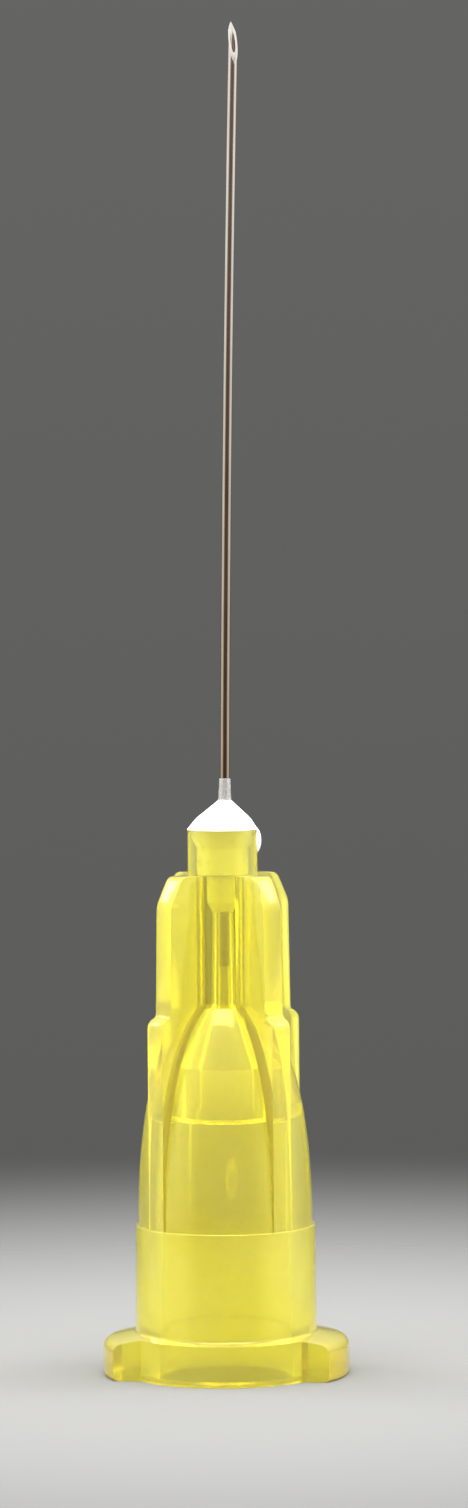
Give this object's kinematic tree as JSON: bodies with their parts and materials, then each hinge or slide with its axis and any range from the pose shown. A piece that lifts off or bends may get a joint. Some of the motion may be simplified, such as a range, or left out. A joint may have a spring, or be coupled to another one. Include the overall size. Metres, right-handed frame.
{
  "type": "hypodermic needle",
  "caption": "Slim steel tube ground to a point and bonded with a white adhesive cone into a see-through, finned plastic hub with a lugged flange and a tapered female socket.",
  "frame": {"origin": "on the hub's axis, in the plane of the flange's flat bottom face", "axes": "+Z along the hub's axis towards the ground point, X through the flange's two lugs with +X the side that the point leans to, -Y the side seen in the picture"},
  "size_m": [0.0078, 0.0064, 0.0425],
  "materials": {
    "hub_plastic": "see-through yellow polypropylene",
    "steel": "drawn stainless steel tube, siliconised",
    "epoxy": "white cast adhesive, see-through where it is a thin film"
  },
  "bodies": {
    "root": {"hub": "hub_plastic", "cannula": "steel", "adhesive": "epoxy"}
  },
  "joints": []
}
